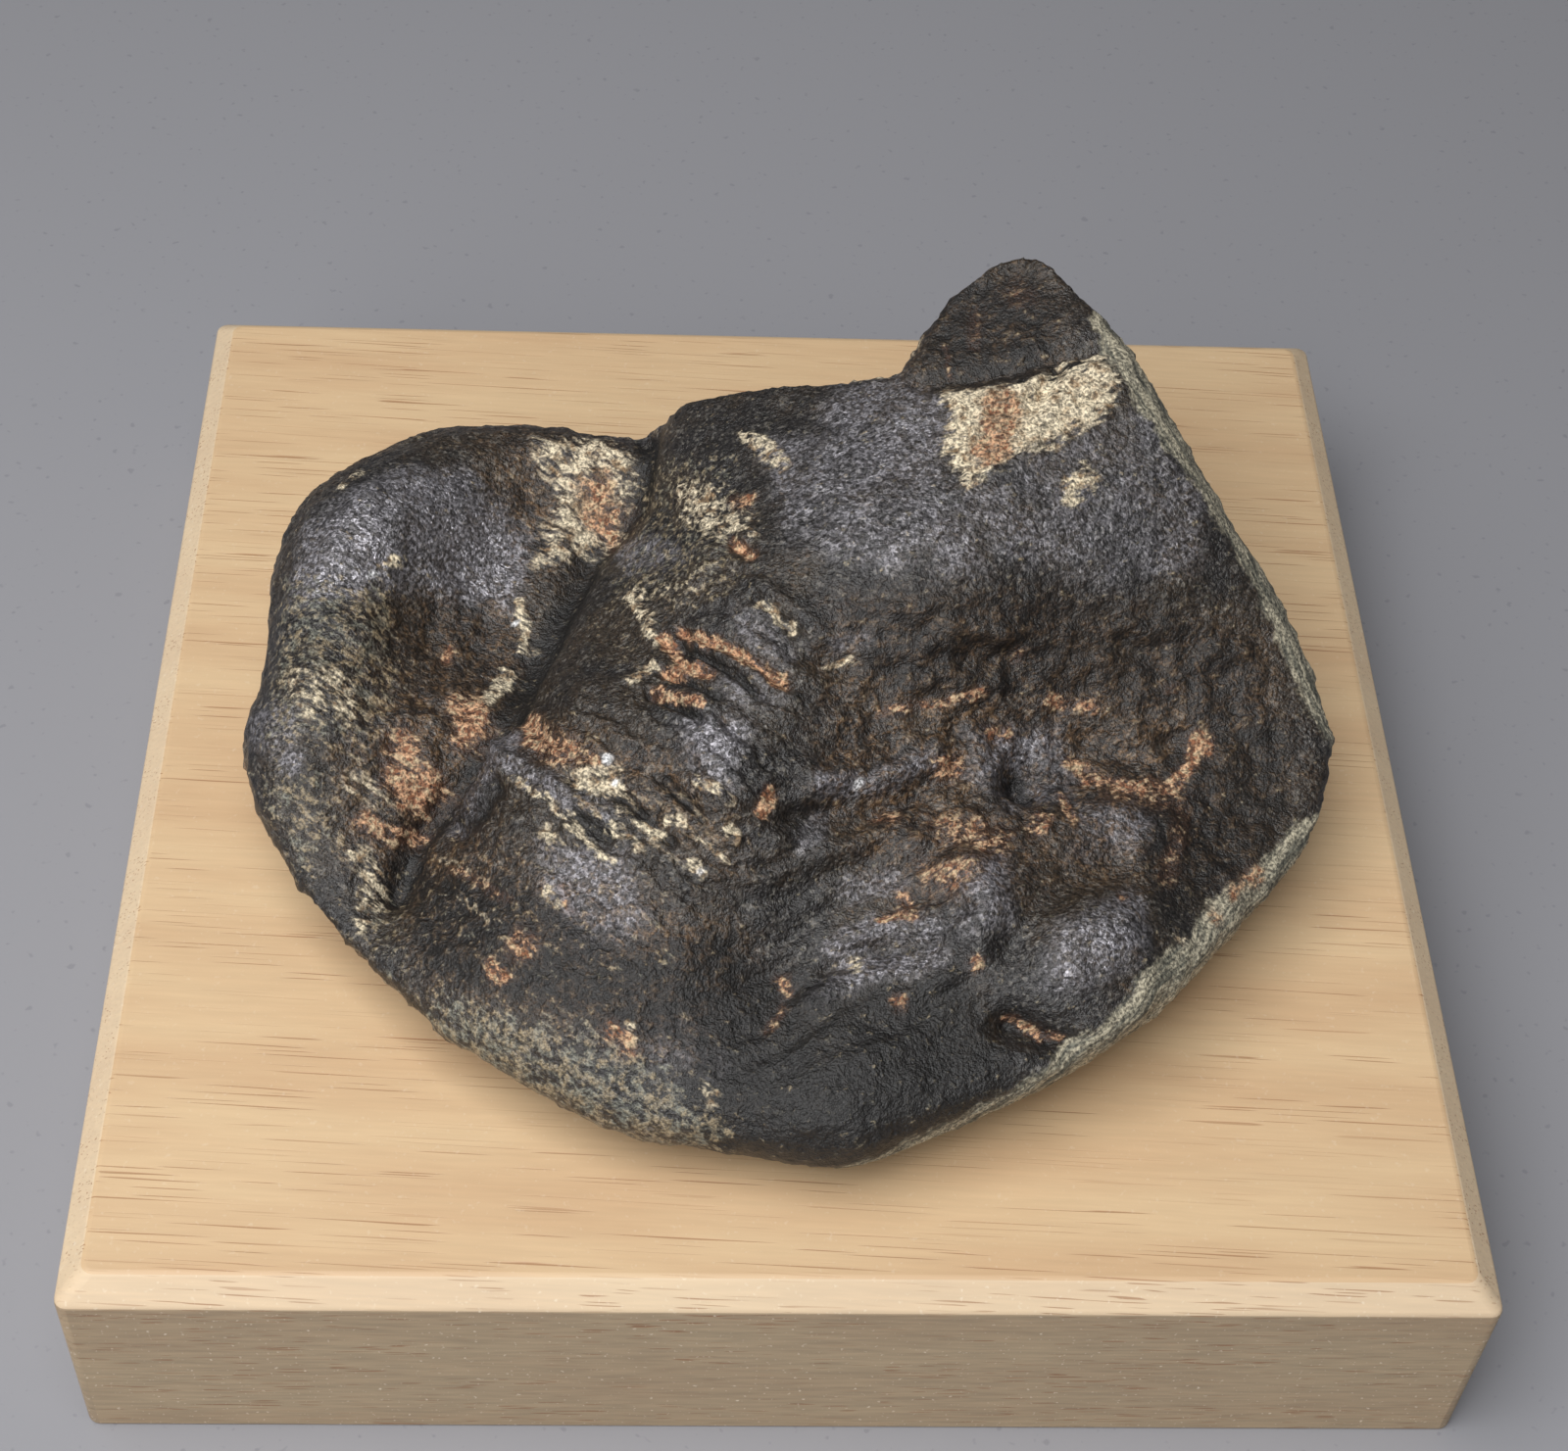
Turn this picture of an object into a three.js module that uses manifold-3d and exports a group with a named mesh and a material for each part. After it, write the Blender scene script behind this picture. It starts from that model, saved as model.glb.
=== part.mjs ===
// A worn, twinned crystal of rutile shown on a square hardwood display block.
//
// Units are millimetres and +Z is up. The origin is the centre of the block's underside,
// +X points to the right of the specimen as it is shown and +Y points to its back.
// The stone is one solid that grew in one piece: a low knob on the left, a deep twin groove,
// and a broad main body that leans towards the front and rises to a pointed peak at the back.
// It rests on a small flat spot under its middle and can be lifted off the block.
import * as THREE from "three";
import Module from "manifold-3d";
import { mergeVertices } from "three/addons/utils/BufferGeometryUtils.js";

const wasm = await Module();
wasm.setup();

// Driving dimensions of the display block: planed 3/4 inch board, cut 4 inches square
const BLOCK_SIDE = 101.6;
const BLOCK_THICKNESS = 19.05;
const BLOCK_CHAMFER_IN = 1.9;
const BLOCK_CHAMFER_DOWN = 1.6;
const BLOCK_CORNER_RADIUS = 0.9;
const CORNER_STEPS = 4;

// Driving dimensions of the stone
const REST_GAP = 0.3; // the stone's flat spot stays this far clear of the block
const FACE_LEAN = THREE.MathUtils.degToRad(40); // lean of the broad face towards the front
const FACE_CENTRE = new THREE.Vector3(0, -10, 15); // a point in the middle of the stone
const RIM_POINTS = 144; // points in the longest ring of the skin
const SHOULDER_RINGS = 4; // rings that round the rim over, on each side
const FACE_RINGS = 30; // rings between the shoulder and the middle of the broad face
const UNDERSIDE_RINGS = 13;
const EVENING_STEPS = 4; // samples on each side of a point of the rim when it is evened out
const EVENING_REACH = 0.05; // how far along the rim the evening reaches, as a share of it

// The rim, where the broad face turns over to the underside, counter-clockwise from the front.
// Each row is [x, y, height above the block, shoulder of the face, shoulder of the underside]:
// a shoulder is how far in from the rim the surface goes on rounding over.
const RIM = [
  [4.5, -41.5, 2.5, 6, 7],
  [10.5, -39, 3, 4.5, 7],
  [19, -35.5, 4.5, 3, 7],
  [28.3, -28.8, 6, 2.6, 7],
  [35.8, -20.9, 7.5, 2.6, 7],
  [40.1, -16.1, 9, 2.6, 7],
  [42, -10, 11, 3, 8],
  [41, -4, 13.5, 2.6, 8],
  [38, 2, 17, 2.4, 8],
  [33.2, 7.1, 21.5, 2.2, 8],
  [28.5, 13.2, 26.4, 2, 8],
  [24.6, 18.4, 29.7, 2, 7],
  [21.1, 21.6, 31.5, 2, 6],
  [18.6, 23.3, 32.2, 2.2, 5],
  [15, 21.9, 31.1, 2.2, 5],
  [11.7, 19, 29.2, 2.2, 5],
  [9, 14.8, 27, 2.5, 5],
  [6, 14.7, 26, 4, 6],
  [-1, 16.2, 24, 5, 6],
  [-8, 18.2, 20, 4.5, 6],
  [-10, 18.6, 17, 3, 6],
  [-12, 19.5, 15, 3, 7],
  [-19, 21.5, 14, 4, 7],
  [-28, 22, 13, 6, 8],
  [-33.2, 19.3, 12.5, 7, 8],
  [-38.3, 15.3, 11.5, 8, 9],
  [-40.3, 7, 10.5, 8, 9],
  [-40, -2, 9.5, 7, 9],
  [-41, -8, 9, 7, 9],
  [-39.3, -15.2, 8.5, 7, 9],
  [-35.7, -21.7, 8, 6, 9],
  [-29.9, -28, 7, 5, 9],
  [-23.4, -34, 6, 6, 9],
  [-17.3, -37.6, 5, 6, 9],
  [-11.5, -40, 4, 6, 8],
  [-4.5, -40.6, 3, 6, 7],
];

// Landmarks that the broad face passes through, each [x, y, height above the block]
const FACE_LANDMARKS = {
  plateau: [6.5, 1.5, 27.5],
  plateauBack: [2, 10.5, 25.5],
  plateauLeft: [-3.5, 8.5, 23.5],
  plateauFront: [11, -8, 24],
  panelTop: [-8, 11, 20.5],
  panelHigh: [-6.5, -2, 22],
  panelMiddle: [-11.5, -9.5, 19.5],
  panelCrest: [-13, -21, 17.5],
  panelEdge: [-17, -9, 17.5],
  panelLowEdge: [-21.5, -19.5, 14.5],
  ridgeMiddle: [-1.5, -10.5, 23],
  ridgeLow: [-3.5, -21, 20],
  frontLeftSlope: [-22.5, -28.5, 11.5],
  frontFold: [-7.5, -31.5, 13.5],
  frontLeft: [-11.5, -37.5, 10],
  grooveTop: [-12.5, 11, 15],
  grooveMiddle: [-19, -4, 13],
  grooveLow: [-25.5, -17, 10.5],
  grooveEnd: [-29, -24, 8.5],
  knobCrown: [-30.5, 6, 17.5],
  knobBack: [-22, 15, 15.5],
  knobTrough: [-30, -4, 14],
  knobLowHump: [-32, -12.5, 13.5],
  knobFront: [-32.5, -19, 10.5],
  flankTop: [23, 4.5, 27],
  flankMiddle: [27.5, -3, 21],
  flankEdge: [35, -3.5, 17.5],
  creaseMiddle: [5, -12, 20.5],
  valleyRight: [29, -13.5, 13],
  valleyPit: [18.5, -14.5, 14],
  valleyMiddle: [6.5, -26, 13.5],
  valleyLow: [-1, -32, 11],
  bulgeTop: [14, -26, 16],
  bulgeRight: [22.5, -27.5, 14.5],
  bulgeEnd: [33.5, -18.5, 11],
  tip: [38, -11.5, 12],
  frontShoulder: [3.5, -37.5, 11.5],
  frontRight: [14, -36, 11],
  peakFacet: [16.5, 18, 29.5],
  peakRidge: [21, 13, 30],
  crustPatch: [15, 8, 28.5],
};

// Landmarks of the underside and the back wall; those below the block's top are cut off flat
const UNDERSIDE_LANDMARKS = {
  footMiddle: [2, -8, -3],
  footLeft: [-14, -8, -1],
  footRight: [17, -6, -1],
  footFront: [2, -22, -1],
  footBack: [4, 8, -1.5],
  bellyFront: [2, -34, 1.4],
  bellyFrontLeft: [-18, -28, 2.5],
  bellyLeft: [-30, -6, 4],
  bellyRight: [35, -9, 5],
  bellyFrontRight: [26, -24, 2.5],
  knobBackWall: [-27, 17, 4],
  grooveBackWall: [-11, 14, 7],
  mainBackWall: [3, 18.5, 12],
  mainBackFoot: [5, 14, 3],
  peakBackWall: [17, 22, 18],
  peakBackFoot: [18, 16, 6],
  rightBackWall: [30, 10, 12],
  rightBackFoot: [30, 2, 4],
};

// The twin groove between the knob and the main body. Its floor runs through these points,
// each [x, y, height above the block, depth], and it has a steep wall on the main body's side
// and a gentle one that runs up the knob.
const TWIN_GROOVE = [
  [-11, 21, 15, 0.8],
  [-11.8, 16, 15, 1.4],
  [-13.5, 9, 15, 1.8],
  [-17.8, 0, 13.6, 2],
  [-22.6, -11, 11.5, 2],
  [-27, -20.5, 9, 1.6],
  [-29.8, -26, 8, 0.9],
  [-32, -30, 7.5, 0],
];
const STEEP_WALL_WIDTH = 2;
const GENTLE_WALL_WIDTH = 4;

// Turns a point of the stone into the leaning frame of its broad face: x to the right,
// y up the face and z straight out of it.
function toFace([x, y, height]) {
  return new THREE.Vector3(x, y, height)
    .sub(FACE_CENTRE)
    .applyAxisAngle(new THREE.Vector3(1, 0, 0), -FACE_LEAN);
}

// Turns a point of the leaning frame back into the stone's upright frame
function fromFace(point) {
  return point
    .clone()
    .applyAxisAngle(new THREE.Vector3(1, 0, 0), FACE_LEAN)
    .add(FACE_CENTRE);
}

// Solves a square system of linear equations by elimination with row swaps
function solve(rows, values) {
  const size = values.length;
  const table = rows.map((row, i) => [...row, values[i]]);
  for (let column = 0; column < size; column++) {
    let pivot = column;
    for (let r = column + 1; r < size; r++)
      if (Math.abs(table[r][column]) > Math.abs(table[pivot][column])) pivot = r;
    [table[column], table[pivot]] = [table[pivot], table[column]];
    for (let r = 0; r < size; r++) {
      if (r === column) continue;
      const share = table[r][column] / table[column][column];
      for (let c = column; c <= size; c++) table[r][c] -= share * table[column][c];
    }
  }
  return table.map((row, i) => row[size] / row[i]);
}

// A smooth surface through landmarks, the shape that a thin springy plate takes: it returns
// the function that gives the height out of the face at any place on the face.
function plateThrough(landmarks) {
  const points = Object.values(landmarks).map(toFace);
  const bend = (squared) => (squared > 0 ? 0.5 * squared * Math.log(squared) : 0);
  const apart = (a, x, y) => (a.x - x) ** 2 + (a.y - y) ** 2;
  const rows = points.map((p) => [
    ...points.map((q) => bend(apart(q, p.x, p.y))),
    1,
    p.x,
    p.y,
  ]);
  for (const share of [() => 1, (p) => p.x, (p) => p.y])
    rows.push([...points.map(share), 0, 0, 0]);
  const weights = solve(rows, [...points.map((p) => p.z), 0, 0, 0]);
  const [level, slopeX, slopeY] = weights.slice(points.length);
  return (x, y) =>
    points.reduce(
      (sum, p, i) => sum + weights[i] * bend(apart(p, x, y)),
      level + slopeX * x + slopeY * y,
    );
}

// How deep the twin groove cuts at a place on the face: a V with a rounded floor
const grooveLine = TWIN_GROOVE.map(toFace).map((p) => new THREE.Vector3(p.x, p.y, 0));
function grooveDepth(x, y) {
  const place = new THREE.Vector3(x, y, 0);
  let nearest = Infinity;
  let cut = 0;
  for (let i = 1; i < grooveLine.length; i++) {
    const piece = new THREE.Line3(grooveLine[i - 1], grooveLine[i]);
    const share = piece.closestPointToPointParameter(place, true);
    const away = place.clone().sub(piece.at(share, new THREE.Vector3()));
    if (away.length() >= nearest) continue;
    nearest = away.length();
    const onMainBody = piece.delta(new THREE.Vector3()).cross(away).z > 0;
    const width = onMainBody ? STEEP_WALL_WIDTH : GENTLE_WALL_WIDTH;
    const depth = THREE.MathUtils.lerp(TWIN_GROOVE[i - 1][3], TWIN_GROOVE[i][3], share);
    cut = depth * THREE.MathUtils.smoothstep(1 - nearest / width, 0, 1);
  }
  return cut;
}

// Skins a stack of closed rings, which may have different numbers of points, from a first
// pole to a last pole. Faces point out when the rings run counter-clockwise seen from the
// first pole.
function skin(firstPole, rings, lastPole) {
  const points = [firstPole, ...rings.flat(), lastPole];
  const starts = [];
  let next = 1;
  for (const ring of rings) {
    starts.push(next);
    next += ring.length;
  }
  const faces = [];
  const at = (ring, i) => starts[ring] + (i % rings[ring].length);
  for (let i = 0; i < rings[0].length; i++) faces.push(0, at(0, i), at(0, i + 1));
  for (let ring = 1; ring < rings.length; ring++) {
    const inner = rings[ring - 1].length;
    const outer = rings[ring].length;
    let a = 0;
    let b = 0;
    while (a < inner || b < outer) {
      const stepOuter = b < outer && (a >= inner || (b + 1) * inner <= (a + 1) * outer);
      if (stepOuter) faces.push(at(ring - 1, a), at(ring, b), at(ring, ++b));
      else faces.push(at(ring - 1, a), at(ring, b), at(ring - 1, ++a));
    }
  }
  const last = rings.length - 1;
  for (let i = 0; i < rings[last].length; i++)
    faces.push(at(last, i), points.length - 1, at(last, i + 1));
  const geometry = new THREE.BufferGeometry().setFromPoints(points);
  geometry.setIndex(faces);
  return geometry;
}

// Makes a manifold solid of a closed geometry
function toSolid(geometry) {
  const plain = geometry.clone();
  plain.deleteAttribute("normal");
  plain.deleteAttribute("uv");
  const merged = mergeVertices(plain);
  return new wasm.Manifold(
    new wasm.Mesh({
      numProp: 3,
      vertProperties: merged.attributes.position.array,
      triVerts: new Uint32Array(merged.index.array),
    }),
  );
}

// Makes a three.js geometry of a manifold solid
function toGeometry(solid) {
  const mesh = solid.getMesh();
  const geometry = new THREE.BufferGeometry();
  geometry.setAttribute("position", new THREE.BufferAttribute(mesh.vertProperties, 3));
  geometry.setIndex(new THREE.BufferAttribute(mesh.triVerts, 1));
  geometry.computeVertexNormals();
  return geometry;
}

// The stone before its flat spot is cut, as rings from the middle of the broad face out to
// the rim and back in to the middle of the underside
function roughStone() {
  const rimCurve = new THREE.CatmullRomCurve3(RIM.map(toFace), true, "centripetal");
  const shoulderCurve = new THREE.CatmullRomCurve3(
    RIM.map(([, , , face, underside]) => new THREE.Vector3(face, underside, 0)),
    true,
  );
  const middle = toFace(FACE_CENTRE.toArray());
  const plate = plateThrough(FACE_LANDMARKS);
  const face = (x, y) => plate(x, y) - grooveDepth(x, y);
  const underside = plateThrough(UNDERSIDE_LANDMARKS);

  // A point of the rim, evened out over a wider stretch of it for the inner rings, so that
  // the notches of the rim don't run on into the middle of the stone
  const evenedRim = (t, inwards) => {
    const sum = new THREE.Vector3();
    for (let step = -EVENING_STEPS; step <= EVENING_STEPS; step++)
      sum.add(rimCurve.getPoint((t + (step / EVENING_STEPS) * EVENING_REACH * inwards + 1) % 1));
    return sum.divideScalar(2 * EVENING_STEPS + 1);
  };

  // One ring of the skin. `inwards` runs from 0 at the end of the shoulder to 1 in the
  // middle, and `turn` from 0 at the rim to a quarter turn at the end of the shoulder.
  const ring = (height, shoulderAxis, inwards, turn) => {
    const count = Math.max(6, Math.round(RIM_POINTS * (1 - inwards)));
    return Array.from({ length: count }, (_, i) => {
      const t = i / count;
      const rim = evenedRim(t, inwards);
      const reach = Math.hypot(rim.x - middle.x, rim.y - middle.y);
      const shoulder = shoulderCurve.getPoint(t)[shoulderAxis];
      const inset = shoulder * (1 - Math.cos(turn)) + (reach - shoulder) * inwards;
      const x = THREE.MathUtils.lerp(rim.x, middle.x, inset / reach);
      const y = THREE.MathUtils.lerp(rim.y, middle.y, inset / reach);
      const z = THREE.MathUtils.lerp(rim.z, height(x, y), Math.sin(turn));
      return fromFace(new THREE.Vector3(x, y, z));
    });
  };
  const side = (height, shoulderAxis, rings) => {
    const quarter = Math.PI / 2;
    const flat = Array.from({ length: rings - 1 }, (_, i) =>
      ring(height, shoulderAxis, 1 - (i + 1) / rings, quarter),
    );
    const shoulder = Array.from({ length: SHOULDER_RINGS }, (_, i) =>
      ring(height, shoulderAxis, 0, quarter * (1 - i / SHOULDER_RINGS)),
    );
    return [...flat, ...shoulder];
  };
  const pole = (height) =>
    fromFace(new THREE.Vector3(middle.x, middle.y, height(middle.x, middle.y)));
  const rim = ring(face, "x", 0, 0);
  return skin(
    pole(face),
    [
      ...side(face, "x", FACE_RINGS),
      rim,
      ...side(underside, "y", UNDERSIDE_RINGS).reverse(),
    ],
    pole(underside),
  );
}

// The stone, with everything below its resting plane cut off flat
function rutileStone() {
  const room = 2 * BLOCK_SIDE;
  const below = new THREE.BoxGeometry(room, room, room);
  below.translate(0, 0, REST_GAP - room / 2);
  const geometry = toGeometry(toSolid(roughStone()).subtract(toSolid(below)));
  const stone = new THREE.Mesh(
    geometry,
    new THREE.MeshStandardMaterial({ color: 0x2b2a2e, roughness: 0.5, metalness: 0.45 }),
  );
  stone.name = "rutile_stone";
  stone.position.z = BLOCK_THICKNESS;
  return stone;
}

// One outline of the block: a square with rounded corners, counter-clockwise
function blockOutline(side, radius, height) {
  const reach = side / 2 - radius;
  const points = [];
  for (let corner = 0; corner < 4; corner++) {
    const start = (corner * Math.PI) / 2;
    const cx = reach * Math.sign(Math.cos(start + Math.PI / 4));
    const cy = reach * Math.sign(Math.sin(start + Math.PI / 4));
    for (let step = 0; step <= CORNER_STEPS; step++) {
      const angle = start + (step / CORNER_STEPS) * (Math.PI / 2);
      points.push(
        new THREE.Vector3(cx + radius * Math.cos(angle), cy + radius * Math.sin(angle), height),
      );
    }
  }
  return points;
}

// The display block: sharp underneath, with a chamfer planed round its top edge
function displayBlock() {
  const top = BLOCK_THICKNESS;
  const chamferFoot = top - BLOCK_CHAMFER_DOWN;
  const topSide = BLOCK_SIDE - 2 * BLOCK_CHAMFER_IN;
  const geometry = skin(
    new THREE.Vector3(0, 0, top),
    [
      blockOutline(topSide, BLOCK_CORNER_RADIUS, top),
      blockOutline(BLOCK_SIDE, BLOCK_CORNER_RADIUS, chamferFoot),
      blockOutline(BLOCK_SIDE, BLOCK_CORNER_RADIUS, 0),
    ],
    new THREE.Vector3(0, 0, 0),
  );
  const block = new THREE.Mesh(
    geometry,
    new THREE.MeshStandardMaterial({ color: 0xd6b486, roughness: 0.5, metalness: 0 }),
  );
  block.name = "display_block";
  return block;
}

const specimen = new THREE.Group();
specimen.add(displayBlock(), rutileStone());

export default specimen;
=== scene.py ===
import math

import bmesh
import bpy
import numpy as np
from mathutils import Matrix, Vector, noise


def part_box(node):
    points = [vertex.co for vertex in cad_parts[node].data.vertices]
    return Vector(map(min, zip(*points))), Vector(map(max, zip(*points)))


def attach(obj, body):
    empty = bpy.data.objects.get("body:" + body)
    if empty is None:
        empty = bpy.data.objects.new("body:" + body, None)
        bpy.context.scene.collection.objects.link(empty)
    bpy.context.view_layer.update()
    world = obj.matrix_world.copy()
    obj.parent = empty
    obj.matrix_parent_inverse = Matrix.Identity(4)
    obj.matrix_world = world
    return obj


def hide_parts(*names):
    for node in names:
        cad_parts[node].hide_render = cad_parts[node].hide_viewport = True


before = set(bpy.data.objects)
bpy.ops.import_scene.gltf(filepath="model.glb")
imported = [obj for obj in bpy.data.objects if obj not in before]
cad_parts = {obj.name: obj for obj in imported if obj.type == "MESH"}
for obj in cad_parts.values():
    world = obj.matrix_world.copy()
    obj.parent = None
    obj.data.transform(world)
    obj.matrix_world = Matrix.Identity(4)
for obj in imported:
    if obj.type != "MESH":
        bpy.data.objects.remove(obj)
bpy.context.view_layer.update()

bl_info = {
    "name": "Rutile on a display block",
    "version": (1, 0, 0),
    "blender": (4, 5, 0),
    "location": "3D View > Sidebar > Specimen",
    "description": "Dresses a rutile twin and its hardwood display block",
    "category": "Object",
}

MM = 0.001
BLOCK_TOP_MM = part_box("display_block")[1].z / MM

# In metres: how close two points are one, and how far the floor reaches from the block
MERGE_DISTANCE = 1e-6
FLOOR_REACH = 3
SMOOTHING_ROUNDS = 4
# A loose part of the stone's fine mesh with fewer points than this is a speck
SPECK_POINTS = 5000
# How far the edges of the marks wander, in millimetres
FRAY_MM = 0.4
# How high each kind of roughness stands, in millimetres
LUMPS_MM = 0.55
GRIT_MM = 0.2
SWELLS_MM = 0.25
CRUST_MM = 0.22
FLECKS_MM = 0.12

# The broad face of the stone leans towards the front. Its marks are placed in the face's own
# coordinates, in millimetres: u to the right and v up the face, from the face's centre.
FACE_LEAN = math.radians(40)
FACE_CENTRE = Vector((0, -10, BLOCK_TOP_MM + 15))


def srgb(code):
    """The linear colour of an sRGB hex value such as #d8b98a."""
    parts = [int(code[i : i + 2], 16) / 255 for i in (1, 3, 5)]
    linear = [p / 12.92 if p <= 0.04045 else ((p + 0.055) / 1.055) ** 2.4 for p in parts]
    return (*linear, 1.0)


def area(strength, *outline):
    """A mark with a closed outline on the broad face."""
    return {"strength": strength, "outline": outline}


def line(strength, half_width, *points):
    """A mark along a line on the broad face, or a round spot if it has one point."""
    return {"strength": strength, "half_width": half_width, "points": points}


# The pale side wall that shows as a narrow band outside the right edge of the broad face
SIDE_WALL = area(
    1.0, (23.9, 31), (25, 27.5), (27.2, 23.5), (30, 19.7), (32.7, 16.2), (35, 13),
    (36.6, 10), (38, 7.2), (39, 4.4), (40.4, 1.4), (42, -1), (42.6, -4), (41.4, -6.6), (39, -8),
    (36, -10.4), (34, -12), (32, -13), (30, -14.5), (29.5, -16), (27, -17.3), (25, -18.3),
    (24, -20), (22, -22), (19, -24.5), (15, -27), (11, -29), (7, -31), (2, -33), (8, -40),
    (22, -32), (34, -22), (44, -12), (48, 0), (46, 10), (40, 22), (32, 32), (27, 36),
)

# Cream crust of altered mineral, raised a little above the dark stone
CREAM = [
    area(
        1.0, (11.7, 25), (11.9, 21.2), (11.2, 20.4), (12.3, 18.6), (12.7, 17), (13.8, 17.3),
        (15, 18.7), (17, 19.9), (20, 20.6), (22, 22), (24, 23.2), (24.6, 25), (24.6, 26.9),
        (23.4, 27.5), (21.4, 27.1), (19.8, 26.6), (17.5, 25.6), (15, 25.2),
    ),
    area(
        1.0, (20.1, 16.2), (20.6, 18.2), (22.2, 19.3), (23.3, 18), (22.9, 17.1),
        (21.6, 16.9), (21.2, 15.9),
    ),
    area(
        0.66, (-20.3, 22), (-14, 22.4), (-12.2, 21), (-12.4, 17.5), (-13.6, 14.2),
        (-15.2, 12.9), (-20, 11.4), (-19.2, 14), (-17.5, 17), (-19.5, 19.5),
    ),
    area(0.6, (-20, 12.8), (-17.5, 14.2), (-15.2, 14), (-15, 12.9), (-20, 11.3)),
    # bars of pale crust between dark ribs on the lower left panel
    area(0.75, (-16.3, -4.3), (-14.6, -3.9), (-12.2, -4.1), (-11.4, -6.2), (-13, -6.4), (-15.4, -5.5)),
    line(0.48, 0.4, (-15.4, -6.5), (-12.9, -8.4), (-10.9, -9.9)),
    area(0.2, (-17, -4), (-11, -4), (-6, -6), (-4, -10.5), (-8, -11.8), (-13, -9.6), (-17, -6.6)),
    area(0.16, (-13.6, 10), (-9, 12), (-8, 6), (-9, 2), (-12, 1), (-13.4, 5)),
    line(0.5, 0.35, (-20, -5), (-17.8, -6.5), (-15.7, -7.7)),
    line(0.5, 0.4, (-12.2, -7), (-10.6, -8.2), (-9.2, -8.9)),
    line(0.45, 0.35, (-7.2, -8.3), (-5.8, -9.5), (-4.2, -10.8)),
    line(0.4, 0.35, (-8.4, -10.3), (-6.4, -11.4)),
    line(0.55, 0.45, (-15.7, -8.3), (-14.1, -9.8), (-12.7, -10.8)),
    line(0.45, 0.5, (-17.8, -8.5), (-16.7, -9.7)),
    line(0.3, 0.45, (-24.9, -10.8), (-23, -11.9), (-21.7, -12.6)),
    line(0.3, 0.4, (-24, -13.5), (-20.8, -15.1)),
    line(0.55, 0.4, (-17, -12.6), (-16.6, -13.9)),
    line(0.5, 0.5, (-6.9, -4.5), (-4.6, -6.3)),
    line(0.7, 0.4, (-8.8, -7.7), (-7.8, -8.1)),
    area(0.48, (-9, 18.6), (-5, 17.6), (-2.4, 15), (-2, 12.6), (-5, 12.8), (-8, 14.4)),
    area(0.3, (-9.5, 10.5), (-5.8, 11), (-6, 8), (-9, 7.6), (-11.8, 8.6)),
    area(0.42, (-38, 2.5), (-33, 3), (-31, -1), (-36, -1.5)),
    area(0.36, (-32, -3), (-29, -4), (-28.5, -8), (-31, -8.6), (-33, -6)),
    line(0.75, 0.5, (-20.7, 8.6), (-20.3, 6.8), (-20, 5)),
    line(0.75, 0.6, (-21.4, 2.6), (-22.5, 0.8)),
    line(0.7, 0.6, (-11.6, 8.8), (-11.2, 7.6)),
    line(0.6, 0.45, (-10.6, 6.8), (-9.8, 5.2)),
    line(0.7, 0.5, (-11.6, 2.4), (-10.2, 3.3)),
    line(0.8, 0.5, (-2.6, 8.1), (-1.2, 7.2), (0, 6.2)),
    line(0.6, 0.4, (-6.6, 16.6), (-5.4, 15.8)),
    line(0.6, 0.7, (-3, 21.5), (-1.6, 20.4), (-0.4, 19)),
    line(0.55, 0.9, (-31.4, -11), (-30.4, -12.4), (-30, -14.2)),
    line(0.5, 0.5, (-31.6, -15), (-30.8, -16.2)),
    line(0.6, 0.4, (-34.8, 17.2), (-33.4, 18.6)),
    line(0.5, 0.5, (-31.2, 10.8), (-29.8, 11.4)),
    line(0.7, 0.3, (20.7, 27.6), (22.4, 27.9), (24.3, 28)),
    line(0.6, 0.45, (-7, -10.9), (-6.4, -11.4)),
    line(0.8, 0.4, (-4.6, -8.4), (-4, -8.7)),
    line(0.35, 0.6, (-5.8, -26), (-5.4, -27)),
    line(0.6, 0.5, (-11.4, -22), (-10.8, -23)),
    line(0.6, 0.5, (4.3, -17.4), (4.8, -18)),
    line(0.5, 0.35, (2.6, 3.4), (4.4, 3.9)),
    line(0.5, 0.4, (27.6, -15.4), (28.4, -16)),
]

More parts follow.
